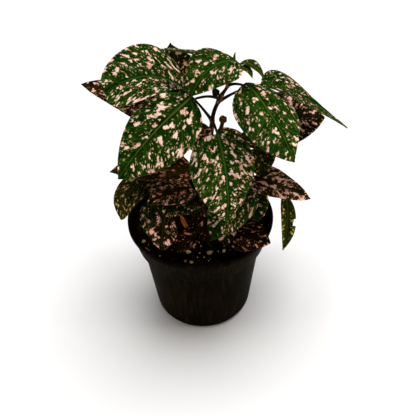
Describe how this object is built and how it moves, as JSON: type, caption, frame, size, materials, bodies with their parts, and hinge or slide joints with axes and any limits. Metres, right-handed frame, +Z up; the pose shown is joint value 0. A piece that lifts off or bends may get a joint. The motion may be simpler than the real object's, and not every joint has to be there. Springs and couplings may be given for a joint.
{
  "type": "potted polka dot plant",
  "caption": "Bushy house plant with pink-spotted green leaves on thin branching stems, growing in soil in a round black plastic nursery pot that rests on its flat base.",
  "frame": {"origin": "centre of the pot's underside, where it rests", "axes": "+Z up along the pot's axis; -Y towards the side whose big leaves lean forward over the rim; +X to the right as seen from that side"},
  "size_m": [0.1694, 0.1268, 0.218],
  "materials": {
    "pot": "satin moulded plastic",
    "soil": "loose dark potting soil",
    "perlite": "rough porous grain",
    "stem": "dark bark, finely ridged",
    "sunlit_leaf": "satin green leaf with pale pink spots",
    "shaded_leaf": "satin dark leaf with rose spots",
    "ageing_leaf": "satin yellowing leaf with yellow spots",
    "pale_underside": "matte grey-green underside with pink spots"
  },
  "bodies": {
    "root": {"back_centre_leaf": "sunlit_leaf", "back_centre_low_leaf": "shaded_leaf", "back_edge_leaf": "sunlit_leaf", "back_left_leaf": "sunlit_leaf", "back_left_low_leaf": "shaded_leaf", "back_left_stem": "stem", "back_right_leaf": "sunlit_leaf", "back_right_low_leaf": "shaded_leaf", "back_right_stem": "stem", "back_tip_leaf": "pale_underside", "behind_left_leaf": "shaded_leaf", "behind_right_leaf": "shaded_leaf", "big_left_leaf": "sunlit_leaf", "drooping_leaf": "ageing_leaf", "drop_bud_leaf": "shaded_leaf", "edge_left_leaf": "shaded_leaf", "far_right_leaf": "sunlit_leaf", "front_leaf": "sunlit_leaf", "front_stem": "stem", "inner_bud_leaf": "sunlit_leaf", "inner_right_leaf": "shaded_leaf", "left_stem": "stem", "low_centre_leaf": "shaded_leaf", "low_front_leaf": "sunlit_leaf", "low_left_leaf": "shaded_leaf", "low_olive_leaf": "shaded_leaf", "low_right_leaf": "shaded_leaf", "low_spotted_leaf": "shaded_leaf", "main_stem": "stem", "olive_leaf": "shaded_leaf", "outer_bud_leaf": "sunlit_leaf", "pale_left_leaf": "shaded_leaf", "perlite_grain_1": "perlite", "perlite_grain_2": "perlite", "perlite_grain_3": "perlite", "perlite_grain_4": "perlite", "perlite_grain_5": "perlite", "perlite_grain_6": "perlite", "perlite_grain_7": "perlite", "perlite_grain_8": "perlite", "pink_left_leaf": "shaded_leaf", "pot": "pot", "right_leaf": "sunlit_leaf", "right_stem": "stem", "rim_left_leaf": "ageing_leaf", "rim_right_leaf": "shaded_leaf", "rolled_leaf": "shaded_leaf", "shaded_left_leaf": "shaded_leaf", "shaded_right_leaf": "shaded_leaf", "small_pink_leaf": "shaded_leaf", "soil": "soil", "soil_left_leaf": "shaded_leaf", "tip_bud": "sunlit_leaf", "top_leaf": "sunlit_leaf", "upper_left_leaf": "sunlit_leaf"}
  },
  "joints": []
}
